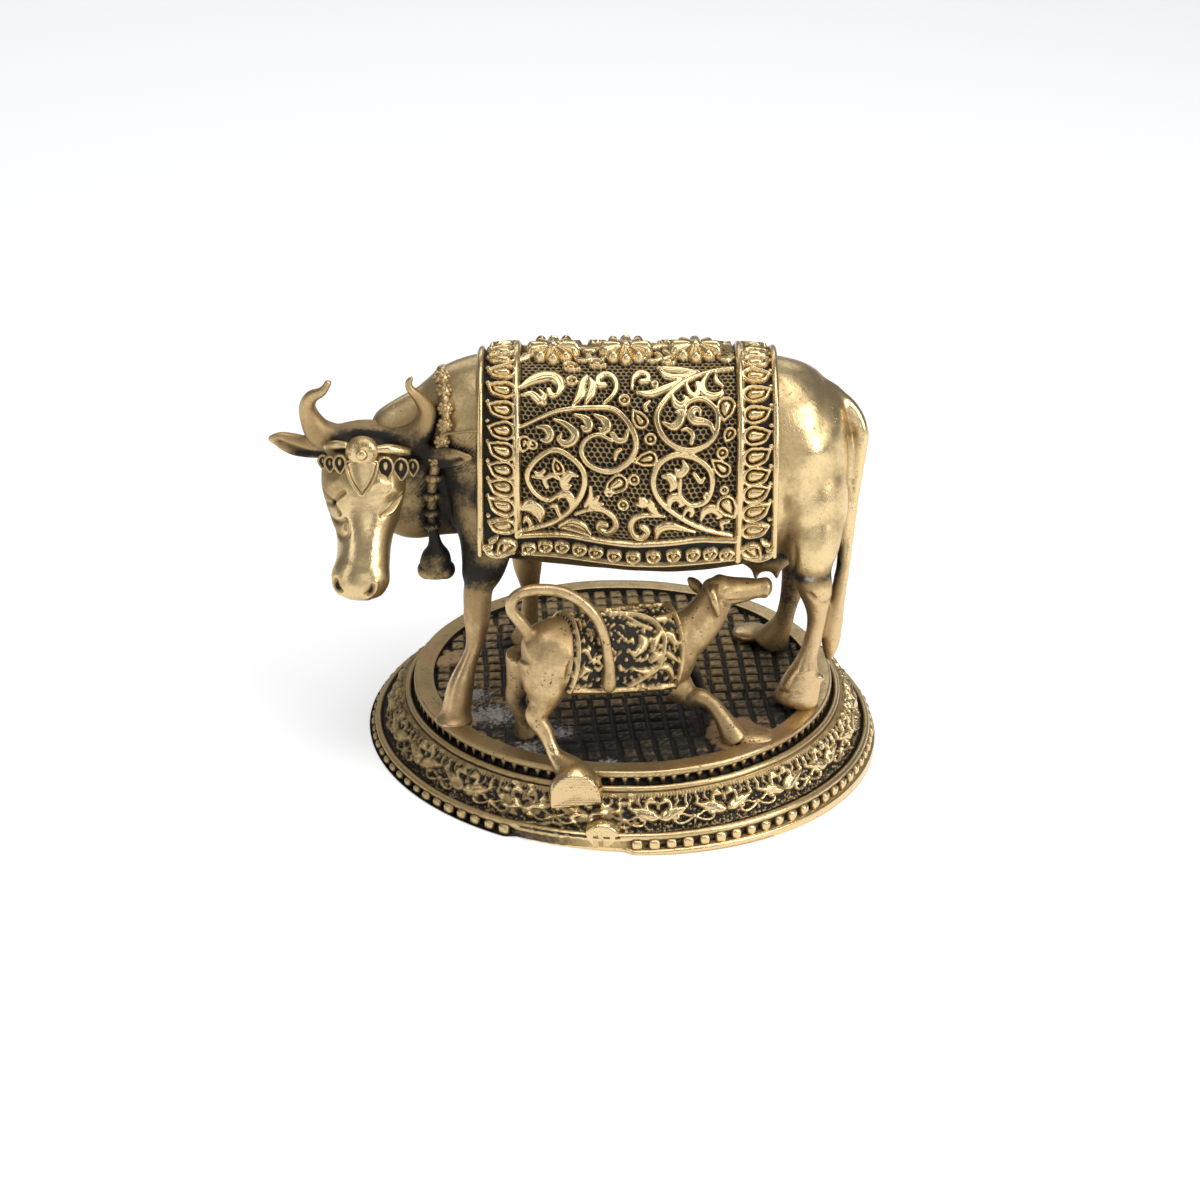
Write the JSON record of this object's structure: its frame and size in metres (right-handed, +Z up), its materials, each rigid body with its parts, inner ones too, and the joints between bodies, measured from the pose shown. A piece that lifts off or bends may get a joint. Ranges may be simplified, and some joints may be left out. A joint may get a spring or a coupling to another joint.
{
  "type": "cow and calf statue on a round plinth",
  "caption": "Cast brass ornament of a saddle-clothed cow with turned head suckling her calf, on a round carved plinth with a hollow underside.",
  "frame": {"origin": "middle of the bounding box on the plane that the plinth rests on", "axes": "+Z up, -X the way the cow walks, -Y the side that the calf stands on and the cow looks to"},
  "size_m": [0.1188, 0.1, 0.0812],
  "materials": {
    "brass": "satin antique brass, polished on the crests and near black in the recesses",
    "copper_brass": "satin antique brass with copper-brown joints",
    "dark_brass": "darkened antique brass with worn bright crests"
  },
  "bodies": {
    "root": {"plinth": "dark_brass", "cow": "brass", "calf": "copper_brass"}
  },
  "joints": []
}
